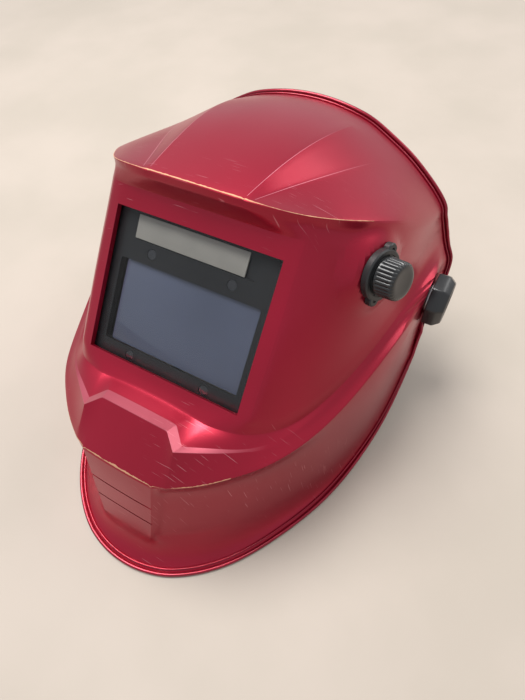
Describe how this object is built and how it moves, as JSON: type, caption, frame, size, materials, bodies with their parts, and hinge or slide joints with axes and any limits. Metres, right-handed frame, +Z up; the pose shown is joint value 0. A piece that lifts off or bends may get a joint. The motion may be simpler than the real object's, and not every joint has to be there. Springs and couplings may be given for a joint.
{
  "type": "welding helmet",
  "caption": "Full-face welding helmet with an auto-darkening filter window, a side shade knob, a sculpted shell and a tilting ratchet headgear, resting on its rim.",
  "frame": {"origin": "centre of the bounding box on the floor that the helmet rests on", "axes": "+X to the wearer's left, +Y from the chin towards the back of the headgear, +Z up from the floor; the window leans back by 42.7 degrees"},
  "size_m": [0.267, 0.3664, 0.2049],
  "materials": {
    "shell_paint": "satin metallic red paint",
    "cover_clear": "clear polycarbonate",
    "filter_dark": "dark glass",
    "solar": "dark glossy",
    "sensor": "gloss",
    "board": "green laminate",
    "steel": "zinc plated",
    "black_plastic": "fine texture",
    "knob_gloss": "gloss",
    "dial_grey": "satin",
    "lead_rubber": "matt",
    "sweat_cloth": "towelling"
  },
  "bodies": {
    "helmet": {"shell": "shell_paint", "front_cover_lens": "cover_clear", "filter_holder_frame": "black_plastic", "filter_housing": "black_plastic", "filter_glass": "filter_dark", "inner_cover_lens": "cover_clear", "solar_cell": "solar", "arc_sensors": "sensor", "circuit_board": "board", "coin_cell": "steel", "latch_screws": "steel", "shade_base_plate": "black_plastic", "shade_pot": "dial_grey", "shade_pot_nut": "steel", "shade_lead": "lead_rubber", "friction_washer_left": "lead_rubber", "friction_washer_right": "lead_rubber"},
    "headgear": {"front_band": "black_plastic", "sweatband": "sweat_cloth", "ratchet_housing": "black_plastic", "rear_pad": "sweat_cloth", "crown_peg": "black_plastic", "stop_disc_left": "black_plastic", "pivot_bolt_left": "steel", "side_arm_left": "black_plastic", "rear_strap_left": "black_plastic", "crown_strap_left": "black_plastic", "stop_disc_right": "black_plastic", "pivot_bolt_right": "steel", "side_arm_right": "black_plastic", "rear_strap_right": "black_plastic", "crown_strap_right": "black_plastic"},
    "tension_knob_left_body": {"tension_knob_left": "knob_gloss", "spring_washer_left": "steel"},
    "tension_knob_right_body": {"tension_knob_right": "knob_gloss", "spring_washer_right": "steel"},
    "shade_knob_body": {"shade_knob": "knob_gloss"},
    "ratchet_knob_body": {"ratchet_knob": "knob_gloss", "ratchet_pinion": "dial_grey"},
    "sensitivity_dial_body": {"sensitivity_dial": "dial_grey"},
    "delay_dial_body": {"delay_dial": "dial_grey"},
    "battery_cap_body": {"battery_cap": "black_plastic"},
    "test_button_body": {"test_button": "dial_grey"},
    "latch_top_body": {"latch_top": "black_plastic"},
    "latch_bottom_body": {"latch_bottom": "black_plastic"}
  },
  "joints": [
    {"name": "headgear_tilt", "type": "hinge", "parent": "helmet", "child": "headgear", "pos_m": [0, 0.06366, 0.08697], "axis": [1, 0, 0], "range_deg": [-24, 56]},
    {"name": "tension_left_turn", "type": "hinge", "parent": "headgear", "child": "tension_knob_left_body", "pos_m": [0.128, 0.06366, 0.08697], "axis": [1, 0, 0], "range_deg": [-180, 180]},
    {"name": "tension_right_turn", "type": "hinge", "parent": "headgear", "child": "tension_knob_right_body", "pos_m": [-0.128, 0.06366, 0.08697], "axis": [1, 0, 0], "range_deg": [-180, 180]},
    {"name": "shade_turn", "type": "hinge", "parent": "helmet", "child": "shade_knob_body", "pos_m": [0.0955, 0.0043, 0.15536], "axis": [0.9272, -0.2753, 0.254], "range_deg": [-135, 135]},
    {"name": "ratchet_turn", "type": "hinge", "parent": "headgear", "child": "ratchet_knob_body", "pos_m": [0, 0.16472, 0.02227], "axis": [0, 0.8422, -0.5392], "range_deg": [-360, 360]},
    {"name": "sensitivity_turn", "type": "hinge", "parent": "helmet", "child": "sensitivity_dial_body", "pos_m": [-0.028, -0.0254, 0.15827], "axis": [0, 0.7349, -0.6782], "range_deg": [-135, 135]},
    {"name": "delay_turn", "type": "hinge", "parent": "helmet", "child": "delay_dial_body", "pos_m": [-0.006, -0.0254, 0.15827], "axis": [0, 0.7349, -0.6782], "range_deg": [-135, 135]},
    {"name": "battery_cap_turn", "type": "hinge", "parent": "helmet", "child": "battery_cap_body", "pos_m": [0.039, -0.0254, 0.15827], "axis": [0, 0.7349, -0.6782], "range_deg": [0, 60]},
    {"name": "test_button_push", "type": "slide", "parent": "helmet", "child": "test_button_body", "axis": [0, -0.7349, 0.6782], "range_m": [0, 0.001], "stiffness_N_per_m": 400, "springref_m": -0.001},
    {"name": "latch_top_turn", "type": "hinge", "parent": "helmet", "child": "latch_top_body", "pos_m": [0.012, -0.01323, 0.17058], "axis": [0, 0.7349, -0.6782], "range_deg": [-90, 90]},
    {"name": "latch_bottom_turn", "type": "hinge", "parent": "helmet", "child": "latch_bottom_body", "pos_m": [0, -0.08145, 0.09664], "axis": [0, 0.7349, -0.6782], "range_deg": [-90, 90]}
  ]
}
